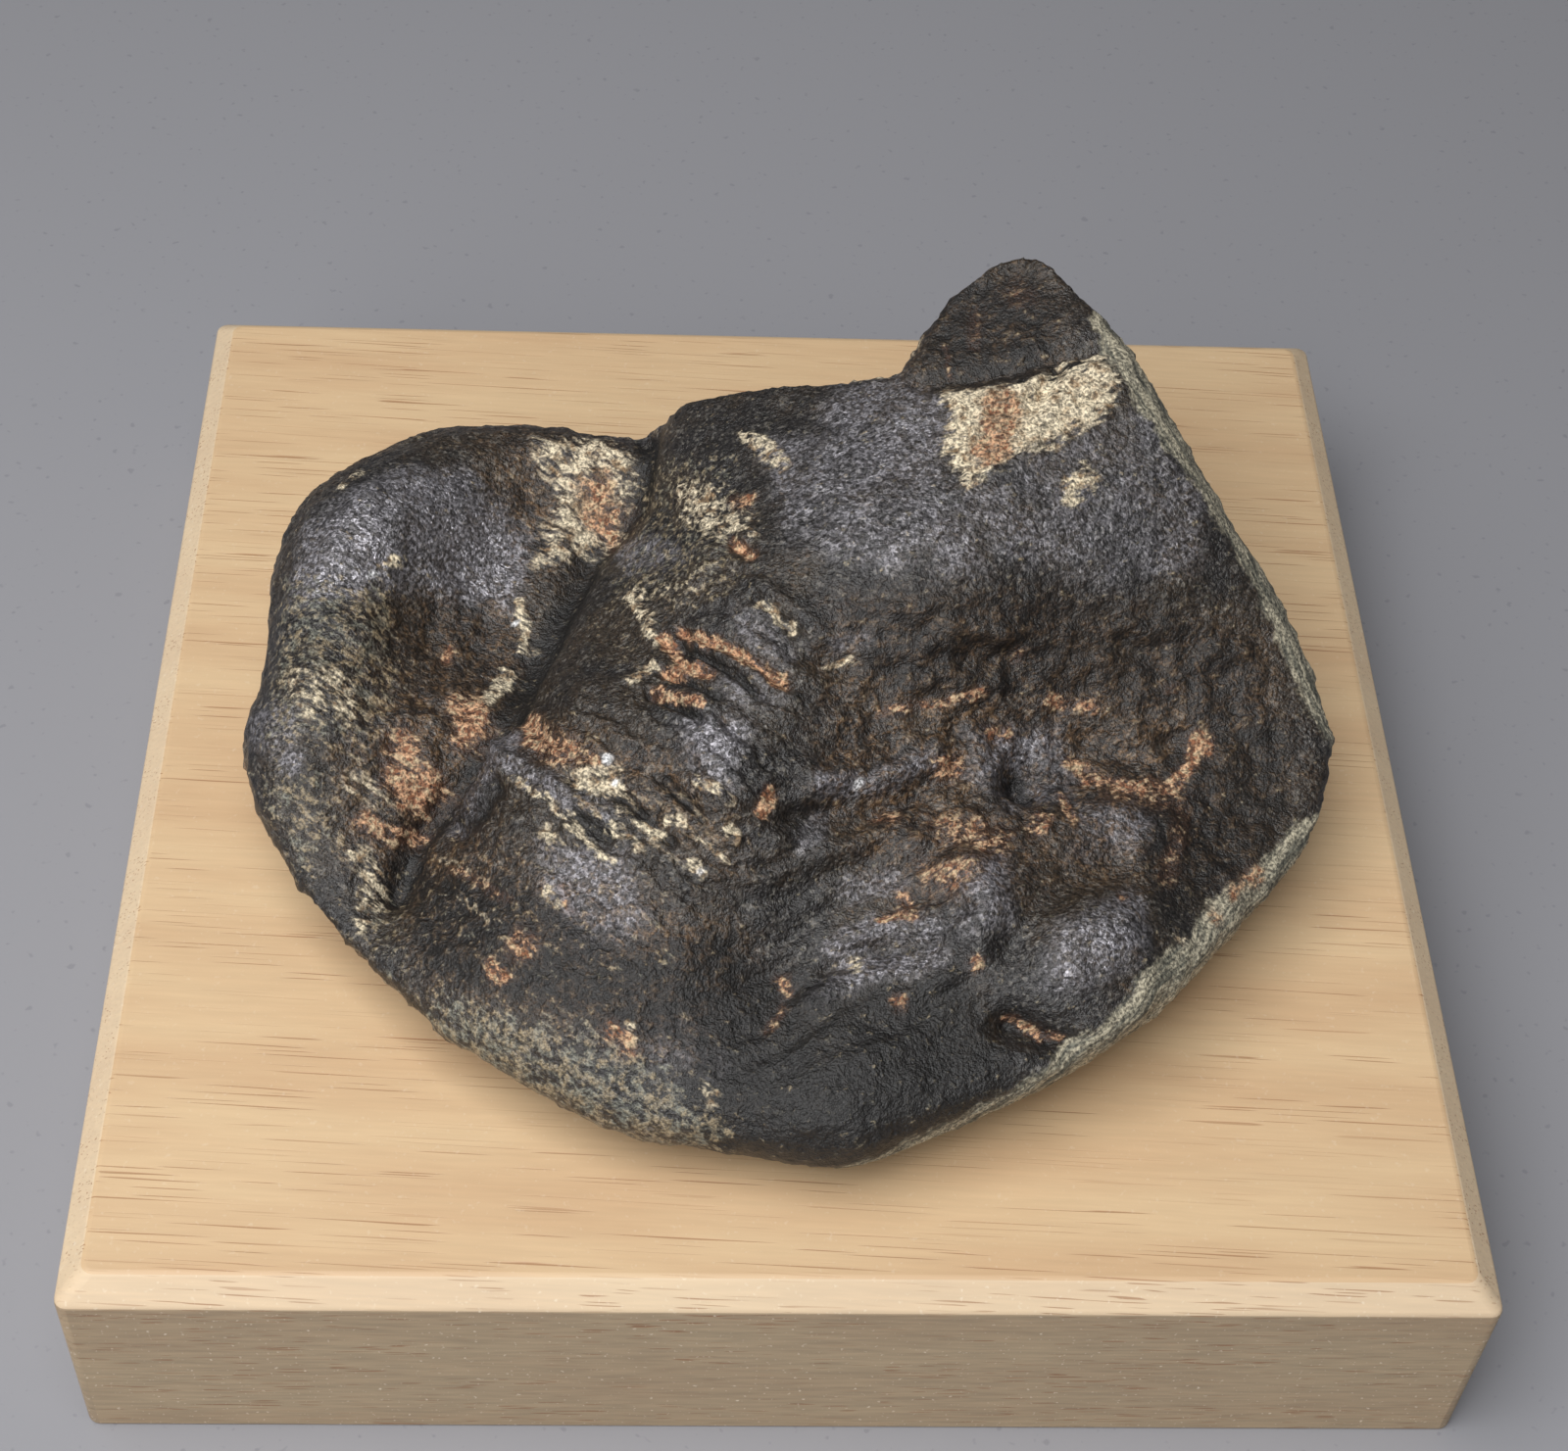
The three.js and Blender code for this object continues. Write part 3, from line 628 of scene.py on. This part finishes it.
class SPECIMEN_OT_stage(bpy.types.Operator):
    """Lays the floor, hangs the lights and sets up the camera"""

    bl_idname = "specimen.stage"
    bl_label = "Stage"

    def execute(self, context):
        settings = context.scene.specimen_stage
        scene = context.scene
        scene.view_settings.view_transform = "Standard"
        scene.view_settings.look = "None"

        shape = bmesh.new()
        bmesh.ops.create_grid(shape, x_segments=1, y_segments=1, size=FLOOR_REACH)
        mesh = bpy.data.meshes.new("floor")
        shape.to_mesh(mesh)
        shape.free()
        floor = add_object("floor", mesh)
        mesh.materials.append(self.floor_material(settings))

        world = bpy.data.worlds.new("room")
        world.use_nodes = True
        background = world.node_tree.nodes["Background"]
        background.inputs["Color"].default_value = srgb("#f4f5f8")
        background.inputs["Strength"].default_value = settings.world_strength
        scene.world = world

        self.lamp("overhead", (-0.13, -0.15, 0.45), 0.4, settings.key_power)
        self.lamp("front", (-0.35, -0.6, 0.35), 0.4, settings.front_power)
        self.add_camera(scene)
        return {"FINISHED"}

    def floor_material(self, settings):
        # Matt painted board: an even pale grey with a fine dark speck, which is drawn coarser
        # than a real one so that it shows
        material, tree, coords = new_material("painted board, matt pale grey")
        speck = add_node(
            tree, "ShaderNodeTexNoise", {"Vector": coords, "Scale": per_mm(0.9), "Detail": 1.0}
        )
        amount = add_node(tree, "ShaderNodeMapRange", (speck, 0.68, 0.76, 0.0, 0.35))
        colour = add_node(
            tree, "ShaderNodeMix",
            {"Factor": amount, "A": settings.floor_colour, "B": srgb("#6f6f76")},
            data_type="RGBA",
        )
        surface = add_node(
            tree, "ShaderNodeBsdfPrincipled", {"Base Color": colour, "Roughness": 0.7}
        )
        add_node(tree, "ShaderNodeOutputMaterial", {"Surface": surface})
        return material

    def lamp(self, name, place, size, power):
        """Hangs a square soft light that faces the block."""
        light = bpy.data.lights.new(name, "AREA")
        light.shape = "SQUARE"
        light.size = size
        light.energy = power
        lamp = bpy.data.objects.new(name, light)
        lamp.location = place
        aim = Vector((0, 0, 0.02)) - lamp.location
        lamp.rotation_euler = aim.to_track_quat("-Z", "Y").to_euler()
        bpy.context.scene.collection.objects.link(lamp)

    def add_camera(self, scene):
        """Puts the camera where the block's straight edges fall as in the photograph."""
        turn, dip, tilt = 0.0712, 0.8631, 0.0698
        data = bpy.data.cameras.new("camera")
        data.sensor_width = 36
        data.lens = 64.24
        data.clip_start = 0.01
        camera = bpy.data.objects.new("camera", data)
        facing = (
            Matrix.Rotation(-turn, 4, "Z")
            @ Matrix.Rotation(math.pi / 2 - dip, 4, "X")
            @ Matrix.Rotation(tilt, 4, "Z")
        )
        camera.matrix_world = Matrix.Translation(Vector((-9.9, -146.2, 192.4)) * MM) @ facing
        scene.collection.objects.link(camera)
        scene.camera = camera


class SPECIMEN_OT_block(bpy.types.Operator):
    """Planes the hardwood display block"""

    bl_idname = "specimen.block"
    bl_label = "Display block"

    def execute(self, context):
        settings = context.scene.specimen_block
        mesh = merged_copy("display_block", "hardwood_block")
        shape = bmesh.new()
        shape.from_mesh(mesh)
        bmesh.ops.dissolve_limit(
            shape, angle_limit=math.radians(1), verts=shape.verts, edges=shape.edges
        )
        sharp = [e for e in shape.edges if e.calc_face_angle(0) > math.radians(30)]
        bmesh.ops.bevel(
            shape, geom=sharp, offset=settings.edge_round, offset_type="OFFSET", segments=3,
            profile=0.5, affect="EDGES", clamp_overlap=True, material=-1,
        )
        # The bevels' narrow faces are smooth. The top, the sides and the chamfers get a
        # finish each, by how steep they are.
        narrow = 20 * MM * MM
        for face in shape.faces:
            face.smooth = face.calc_area() < narrow
            lie = abs(face.normal.z)
            face.material_index = 0 if lie > 0.9 else 1 if lie < 0.4 else 2
        shape.to_mesh(mesh)
        shape.free()
        block = add_object("hardwood_block", mesh)
        for finish in (
            ("pale hardwood, planed and sanded", settings, srgb("#ffffff"), 0.0, 0.46, 0.035),
            # The steep sides are tinted darker and greyer: partly their sawn surface, partly painted
            # shade
            ("pale hardwood, fine sawn, painted shade", settings, srgb("#8d8575"), 0.5, 0.65, 0.17),
            ("pale hardwood, sawn chamfer", settings, srgb("#e6d4b8"), 0.5, 0.6, 0.1),
        ):
            mesh.materials.append(self.wood(*finish))
        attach(block, "root")
        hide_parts("display_block")
        return {"FINISHED"}

    def wood(self, name, settings, tint, tint_amount, roughness, fibre):
        # Pale hardwood under a clear finish: an even tan ground, faint warmer growth bands and
        # short red-brown pores that all run along X. Sawn faces are duller than the planed top.
        material, tree, coords = new_material(name)

        def along_grain(size_mm, length, detail):
            """A pattern this wide across the grain, and drawn out along it."""
            drawn_out = add_node(
                tree, "ShaderNodeMapping",
                {"Vector": coords, "Rotation": (0, 0, math.radians(-3)), "Scale": (length, 1, 1)},
                vector_type="TEXTURE",
            )
            return add_node(
                tree, "ShaderNodeTexNoise",
                {"Vector": drawn_out, "Scale": per_mm(size_mm), "Detail": detail},
            )

        bands = add_node(tree, "ShaderNodeMapRange", (along_grain(5, 5, 4.0), 0.36, 0.68))
        ground = add_node(
            tree, "ShaderNodeMix",
            {"Factor": bands, "A": settings.wood_light, "B": settings.wood_warm},
            data_type="RGBA",
        )
        fibres = add_node(
            tree, "ShaderNodeMapRange",
            (along_grain(0.35, 16, 3.0), 0.3, 0.7, 1 - fibre, 1 + fibre),
        )
        fibred = add_node(
            tree, "ShaderNodeVectorMath", {0: ground, "Scale": fibres}, operation="SCALE"
        )
        finished = add_node(
            tree, "ShaderNodeMix", {"Factor": tint_amount, "A": fibred, "B": tint},
            data_type="RGBA",
        )
        # Open pores: dashes 4 to 12 mm long, gathered in loose rows. Real ones are under
        # 0.1 mm wide, too fine to show, so they are drawn 0.16 mm wide.
        dashes = add_node(
            tree, "ShaderNodeMapRange", (along_grain(0.16, 62, 0.0), 0.69, 0.735, 0.0, 0.6)
        )
        rows = add_node(
            tree, "ShaderNodeMapRange", (along_grain(1.8, 12, 0.0), 0.42, 0.58, 0.25, 1.0)
        )
        pores = add_node(tree, "ShaderNodeMath", (dashes, rows), operation="MULTIPLY")
        pored = add_node(
            tree, "ShaderNodeMix", {"Factor": pores, "A": finished, "B": settings.pore_colour},
            data_type="RGBA",
        )
        # Fine pale dust left in the sawn and sanded grain, drawn coarse enough to show
        dust = add_node(
            tree, "ShaderNodeTexNoise", {"Vector": coords, "Scale": per_mm(0.4), "Detail": 1.0}
        )
        dusting = add_node(tree, "ShaderNodeMapRange", (dust, 0.66, 0.8, 0.0, 5 * fibre))
        colour = add_node(
            tree, "ShaderNodeMix", {"Factor": dusting, "A": pored, "B": srgb("#f4e6cf")},
            data_type="RGBA",
        )
        sunk = add_node(tree, "ShaderNodeMath", (pores, -1.0), operation="MULTIPLY")
        bump = add_node(
            tree, "ShaderNodeBump", {"Height": sunk, "Strength": 0.4, "Distance": 0.1 * MM}
        )
        surface = add_node(
            tree, "ShaderNodeBsdfPrincipled",
            {"Base Color": colour, "Normal": bump, "Roughness": roughness, "IOR": 1.5},
        )
        add_node(tree, "ShaderNodeOutputMaterial", {"Surface": surface})
        return material


class SPECIMEN_OT_stone(bpy.types.Operator):
    """Weathers the rutile crystal"""

    bl_idname = "specimen.stone"
    bl_label = "Rutile crystal"

    def execute(self, context):
        settings = context.scene.specimen_stone
        stone = add_object("rutile_crystal", merged_copy("rutile_stone", "rutile_crystal"))
        self.refine(stone, settings.mesh_size)
        self.weather(stone, settings.relief)
        stone.data.materials.append(self.rutile(settings))
        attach(stone, "root")
        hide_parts("rutile_stone")
        return {"FINISHED"}

    def refine(self, stone, mesh_size):
        """Gives the stone an even fine mesh, then smooths away its stair steps."""
        remesh = stone.modifiers.new("fine mesh", "REMESH")
        remesh.mode = "VOXEL"
        remesh.voxel_size = mesh_size
        view = bpy.context.evaluated_depsgraph_get()
        fine = bpy.data.meshes.new_from_object(stone.evaluated_get(view))
        stone.modifiers.clear()
        stone.data = fine
        shape = bmesh.new()
        shape.from_mesh(fine)
        self.drop_crumbs(shape)
        for _ in range(SMOOTHING_ROUNDS):
            bmesh.ops.smooth_vert(
                shape, verts=shape.verts, factor=0.5, use_axis_x=True, use_axis_y=True,
                use_axis_z=True,
            )
        places = np.array([to_face(vert.co / MM)[:2] for vert in shape.verts])
        chosen = np.max([depth_inside(places, part["outline"]) for part in FINE_AREAS], axis=0) > 0
        outward = np.array([to_face(vert.normal, Vector((0, 0, 0)))[2] > 0 for vert in shape.verts])
        chosen &= outward
        edges = [e for e in shape.edges if chosen[e.verts[0].index] and chosen[e.verts[1].index]]
        bmesh.ops.subdivide_edges(shape, edges=edges, cuts=1, use_grid_fill=True)
        shape.to_mesh(fine)
        shape.free()
        fine.shade_smooth()

    def drop_crumbs(self, shape):
        """Deletes the specks that the fine mesh leaves beside a thin edge."""
        unseen = set(shape.verts)
        crumbs = []
        while unseen:
            island = [unseen.pop()]
            for vert in island:
                near = [e.other_vert(vert) for e in vert.link_edges]
                fresh = [v for v in near if v in unseen]
                unseen.difference_update(fresh)
                island.extend(fresh)
            if len(island) < SPECK_POINTS:
                crumbs.extend(island)
        bmesh.ops.delete(shape, geom=crumbs, context="VERTS")

    def weather(self, stone, relief):
        """Works the marks into the surface, and keeps them as attributes for the material."""
        mesh = stone.data
        count = len(mesh.vertices)
        points = np.empty(count * 3)
        mesh.vertices.foreach_get("co", points)
        points = points.reshape(-1, 3) / MM
        normals = np.empty(count * 3)
        mesh.vertices.foreach_get("normal", normals)
        normals = normals.reshape(-1, 3)

        lean = np.array(Matrix.Rotation(-FACE_LEAN, 3, "X"))
        on_face = (points - np.array(FACE_CENTRE)) @ lean.T
        places = on_face[:, :2]
        facing = smoothstep(-0.15, 0.25, (normals @ lean.T)[:, 2])

        # The marks' edges wander with the mineral's own grain
        frayed = places + FRAY_MM * np.stack(
            [fractal(points, 1.6, 3, 1), fractal(points, 1.6, 3, 2)], axis=1
        )
        lumps = 1.3 * np.abs(fractal(points, 5, 4, 3)) - 0.35
        grit = fractal(points, 0.9, 3, 4)
        broad = fractal(points, 9, 3, 5)

        cream = covered(frayed, CREAM, 1.1) * facing
        wall = smoothstep(-1.0, 0.0, depth_inside(frayed, SIDE_WALL["outline"]))
        wall_depth = depth_inside(places, SIDE_WALL["outline"]) * MM
        rust = covered(frayed, RUST, 1.0) * facing
        # Painted sheen on the facets that catch the light
        painted_sheen = covered(frayed, PAINTED_SHEEN, 1.2) * facing
        # Painted glints of single clear grains
        painted_sparkle = covered(places, PAINTED_SPARKLES) * facing
        wash = covered(frayed, WASH, 2.5) * facing
        flecks = covered(frayed, FLECKS, 1.5) * facing
        # Painted shade in the hollows and on the faces turned from the light, over dark ground
        dark_ground_and_painted_shade = covered(frayed, DARK_GROUND_AND_PAINTED_SHADE, 1.0) * facing

        # The hidden back and underside carry the same finishes in patches of their own
        hidden = 1 - facing
        wash += hidden * smoothstep(-0.2, 0.4, broad)
        cream += hidden * 0.6 * smoothstep(0.25, 0.6, broad)
        rust += hidden * 0.6 * smoothstep(0.3, 0.6, fractal(points, 6, 3, 6))
        # Painted sheen in patches on the hidden side as well
        painted_sheen += hidden * 0.4 * smoothstep(-0.1, 0.4, fractal(points, 8, 2, 7))
        flecks += hidden * 0.4

        forms = sum(swell(places, form) for form in RELIEF) * facing
        wander = 0.9 * fractal(points, 4.5, 3, 8)
        ledges = sum(ledge_height(places, ledge, wander) for ledge in LEDGES) * facing
        rough = np.maximum(covered(places, ROUGH, 2.5), 0.15) * facing + 0.8 * hidden

        height = (
            LUMPS_MM * lumps * (0.25 + 0.75 * rough)
            + GRIT_MM * grit * (0.45 + 0.75 * rough)
            + SWELLS_MM * broad
            + ledges * (0.6 + 0.8 * np.abs(lumps))
            + CRUST_MM * cream * (1 + grit)
            + forms
            - FLECKS_MM * flecks * np.clip(grit, 0, 1)
        )
        points = points + normals * (height * relief)[:, None]
        self.keep_off_the_block(points)
        mesh.vertices.foreach_set("co", (points * MM).ravel())
        mesh.update()

        for name, values in {
            "cream": cream, "wall": wall, "rust": rust, "painted_sheen": painted_sheen, "flecks": flecks,
            "dark_ground_and_painted_shade": dark_ground_and_painted_shade, "wash": wash, "painted_sparkle": painted_sparkle, "wall_depth": wall_depth,
        }.items():
            attribute = mesh.attributes.new(name, "FLOAT", "POINT")
            attribute.data.foreach_set("value", values.astype(np.float32))
        attribute = mesh.attributes.new("place", "FLOAT_VECTOR", "POINT")
        attribute.data.foreach_set("vector", (on_face * MM).astype(np.float32).ravel())

    def keep_off_the_block(self, points):
        """Holds every point at or above the stone's own flat spot."""
        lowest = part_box("rutile_stone")[0].z / MM
        points[:, 2] = np.maximum(points[:, 2], lowest)

    def rutile(self, settings):
        # Weathered rutile: near-black with a dull metallic sheen on its worn facets, partly painted
        # into the colour, with painted glints and painted shade; cream and orange alteration in the
        # hollows, and pale grey-green flecks where it is rubbed. Its own grain is under 0.1 mm, too
        # fine to show, so it is drawn 0.25 mm and more across.
        material, tree, coords = new_material("rutile, natural worn surface")
        marks = {
            name: add_node(tree, "ShaderNodeAttribute", attribute_name=name).outputs["Fac"]
            for name in (
                "cream", "wall", "rust", "painted_sheen", "flecks", "dark_ground_and_painted_shade", "wash", "painted_sparkle",
                "wall_depth",
            )
        }
        place = add_node(tree, "ShaderNodeAttribute", attribute_name="place").outputs["Vector"]
        smooth = {"interpolation_type": "SMOOTHSTEP"}
        times = {"operation": "MULTIPLY"}
        plus = {"operation": "ADD"}
        most = {"operation": "MAXIMUM"}

        def two_tone(pattern, low, high, first, second):
            """Goes from the first colour to the second as a pattern rises from low to high."""
            share = add_node(tree, "ShaderNodeMapRange", (pattern, low, high), **smooth)
            return add_node(
                tree, "ShaderNodeMix", {"Factor": share, "A": first, "B": second},
                data_type="RGBA",
            )

        def broken_up(mark, pattern, *span):
            """Makes a mark stronger or weaker as a pattern goes through its span."""
            share = add_node(tree, "ShaderNodeMapRange", (pattern, *span), **smooth)
            return add_node(tree, "ShaderNodeMath", (mark, share), **times)

        def speckled(mark, pattern, spread, softness=0.2):
            """Thins a mark out into specks towards its edge."""
            spread_out = add_node(tree, "ShaderNodeMath", (pattern, spread), **times)
            both = add_node(tree, "ShaderNodeMath", (mark, spread_out), **plus)
            middle = 0.5 + spread / 2
            return add_node(
                tree, "ShaderNodeMapRange", (both, middle - softness, middle + softness), **smooth
            )

        # Streaks fall to the right on the left half of the broad face, and rise on the other
        runs = [
            add_node(
                tree, "ShaderNodeMapping",
                {"Vector": place, "Rotation": (0, 0, math.radians(turn)), "Scale": (length, 1, 1)},
                vector_type="TEXTURE",
            )
            for turn, length in ((-33, 3), (28, 3.5))
        ]
        # The side wall shows the mineral's layers as fine lines that follow the rim
        squeezed = add_node(
            tree, "ShaderNodeVectorMath", (coords, (0.12, 0.12, 0.12)), operation="MULTIPLY"
        )
        depth = add_node(tree, "ShaderNodeCombineXYZ", (marks["wall_depth"],))
        layered = add_node(tree, "ShaderNodeVectorMath", (squeezed, depth), operation="ADD")

        # Each pattern's size in millimetres, its detail and what it follows
        grain, crumb, specks, patches, clouds, falling, rising, layers = [
            add_node(
                tree, "ShaderNodeTexNoise",
                {"Vector": course, "Scale": per_mm(size), "Detail": detail, "Roughness": 0.62},
            )
            for size, detail, course in (
                (0.25, 2.0, coords), (1.1, 4.0, coords), (0.55, 4.0, coords), (7, 4.0, coords),
                (3.4, 5.0, coords), (0.5, 3.0, runs[0]), (0.45, 3.0, runs[1]), (0.4, 4.0, layered),
            )
        ]
        crystals = add_node(
            tree, "ShaderNodeTexVoronoi",
            {"Vector": coords, "Scale": per_mm(0.32), "Randomness": 1.0},
        )
        facet = add_node(tree, "ShaderNodeSeparateColor", (crystals.outputs["Color"],))
        side = add_node(tree, "ShaderNodeSeparateXYZ", (place,))
        streaks = two_tone(side, -3 * MM, 3 * MM, falling, rising)
        both = add_node(tree, "ShaderNodeMath", (streaks, specks), **plus)
        scuffs = add_node(tree, "ShaderNodeMath", (both, 0.5), **times)

        washed = broken_up(marks["wash"], crumb, 0.4, 0.62, 0.25, 0.8)
        earth = two_tone(scuffs, 0.44, 0.58, srgb("#372a20"), srgb("#755a3f"))
        tan = add_node(tree, "ShaderNodeMapRange", (falling, 0.58, 0.7), **smooth)
        tan = broken_up(tan, patches, 0.42, 0.6, 0.05, 0.4)
        unshaded = add_node(
            tree, "ShaderNodeMath", (1.1, marks["dark_ground_and_painted_shade"]), operation="SUBTRACT"
        )
        # Painted glints: single crystal facets painted light grey, away from the painted shade
        painted_glint = broken_up(unshaded, facet, 0.7, 0.95, 0.0, 0.3)
        painted_glint = broken_up(painted_glint, crumb, 0.4, 0.6, 0.25, 1.0)
        # Painted sheen: the sheen colour is painted on in clouds and crystal facets, and the same
        # amount makes them partly metallic
        cloudy = broken_up(marks["painted_sheen"], clouds, 0.36, 0.62, 0.4, 1.15)
        painted_sheen_and_metal = broken_up(cloudy, facet, 0.2, 0.9, 0.16, 1.0)
        # Painted shade: near-black painted into the hollows and on the faces turned from the light
        dark = broken_up(marks["dark_ground_and_painted_shade"], crumb, 0.3, 0.7, 1.0, 0.7)

        worn = speckled(marks["flecks"], scuffs, 3.8)
        worn = add_node(tree, "ShaderNodeMath", (worn, 0.58), **times)
        fleck = two_tone(crumb, 0.4, 0.6, settings.fleck_colour, srgb("#a39274"))
        pale = speckled(marks["cream"], streaks, 3.4, 0.35)
        pale = broken_up(pale, marks["cream"], 0.05, 0.5)
        cream = two_tone(crumb, 0.34, 0.56, srgb("#80684c"), settings.cream_colour)
        wall = speckled(marks["wall"], specks, 1.5, 0.4)
        wall = add_node(tree, "ShaderNodeMath", (wall, 0.95), **times)
        wall_colour = two_tone(layers, 0.36, 0.6, srgb("#5d5c51"), srgb("#aea690"))

        halo = add_node(tree, "ShaderNodeMath", (marks["rust"], 0.6), **times)
        rust = broken_up(marks["rust"], crumb, 0.38, 0.56, 0.5, 1.25)
        stained = speckled(rust, streaks, 3.7, 0.22)
        stained = broken_up(stained, rust, 0.1, 0.6)
        ochre = two_tone(streaks, 0.45, 0.6, settings.rust_colour, srgb("#b09a7b"))
        stain = two_tone(specks, 0.42, 0.56, srgb("#7a4f35"), ochre)

        # Each coat lies over the ones before it, as thick as its amount
        colour = two_tone(patches, 0.42, 0.6, settings.dark_colour, settings.brown_colour)
        for amount, coat in (
            (washed, earth),
            (tan, srgb("#6f5a44")),
            # painted glints
            (painted_glint, srgb("#8f8a82")),
            # painted sheen
            (painted_sheen_and_metal, settings.painted_sheen_colour),
            # painted shade
            (dark, srgb("#0f0c0a")),
            (worn, fleck),
            (pale, cream),
            (wall, wall_colour),
            (halo, srgb("#603f2b")),
            (stained, stain),
            # painted glints of clear grains, in white
            (marks["painted_sparkle"], srgb("#ffffff")),
        ):
            colour = add_node(
                tree, "ShaderNodeMix", {"Factor": amount, "A": colour, "B": coat},
                data_type="RGBA",
            )
        # Light and dark grains of every finish, with painted shade in the grain's pits in the bump
        grain_tone_and_painted_pit_shade = add_node(
            tree, "ShaderNodeMapRange", (grain, 0.34, 0.66, 0.36, 1.62), **smooth
        )
        colour = add_node(
            tree, "ShaderNodeVectorMath", {0: colour, "Scale": grain_tone_and_painted_pit_shade}, operation="SCALE"
        )

        # Crusts and the side wall are dull, hollows a little rougher, and the sheen is
        # glossier and partly metallic
        crusted = add_node(tree, "ShaderNodeMath", (pale, stained), **most)
        dull = add_node(tree, "ShaderNodeMath", (crusted, wall), **most)
        dull = add_node(tree, "ShaderNodeMapRange", (dull, 0.0, 1.0, 0.4, 0.75), **smooth)
        polish = add_node(tree, "ShaderNodeMath", (marks["painted_sheen"], -0.08), **times)
        deepened = add_node(tree, "ShaderNodeMath", (marks["dark_ground_and_painted_shade"], 0.12), **times)
        change = add_node(tree, "ShaderNodeMath", (polish, deepened), **plus)
        rough = add_node(tree, "ShaderNodeMath", (dull, change), **plus)
        metal = add_node(tree, "ShaderNodeMath", (painted_sheen_and_metal, 0.6), **times)

        height = specks
        for pattern in (grain, crumb):
            raised = add_node(tree, "ShaderNodeMath", (pattern, 0.8), **times)
            height = add_node(tree, "ShaderNodeMath", (height, raised), **plus)
        bump = add_node(
            tree, "ShaderNodeBump", {"Height": height, "Strength": 1.0, "Distance": 0.18 * MM}
        )
        # Fresh rutile has an IOR of 2.6: this worn skin reflects far less
        surface = add_node(
            tree, "ShaderNodeBsdfPrincipled",
            {
                "Base Color": colour, "Roughness": rough, "Metallic": metal, "Normal": bump,
                "IOR": 1.6,
            },
        )
        add_node(tree, "ShaderNodeOutputMaterial", {"Surface": surface})
        return material


class SPECIMEN_PT_panel(bpy.types.Panel):
    """Lists the steps that dress the specimen"""

    bl_label = "Specimen"
    bl_idname = "SPECIMEN_PT_panel"
    bl_space_type = "VIEW_3D"
    bl_region_type = "UI"
    bl_category = "Specimen"

    def draw(self, context):
        for group, operator in PARTS:
            box = self.layout.box()
            settings = getattr(context.scene, group)
            for name in settings.__annotations__:
                box.prop(settings, name)
            box.operator(operator)


PARTS = [
    ("specimen_stage", "specimen.stage"),
    ("specimen_block", "specimen.block"),
    ("specimen_stone", "specimen.stone"),
]
GROUPS = {
    "specimen_stage": SpecimenStage,
    "specimen_block": SpecimenBlock,
    "specimen_stone": SpecimenStone,
}
CLASSES = [
    *GROUPS.values(),
    SPECIMEN_OT_stage,
    SPECIMEN_OT_block,
    SPECIMEN_OT_stone,
    SPECIMEN_PT_panel,
]


def register():
    """Makes the steps and their settings known to Blender."""
    for part in CLASSES:
        bpy.utils.register_class(part)
    for name, group in GROUPS.items():
        setattr(bpy.types.Scene, name, bpy.props.PointerProperty(type=group))


def unregister():
    """Takes the steps and their settings away again."""
    for name in GROUPS:
        delattr(bpy.types.Scene, name)
    for part in reversed(CLASSES):
        bpy.utils.unregister_class(part)


def main():
    """Dresses the specimen."""
    register()
    bpy.ops.specimen.stage()
    bpy.ops.specimen.block()
    bpy.ops.specimen.stone()


if __name__ == "__main__":
    main()
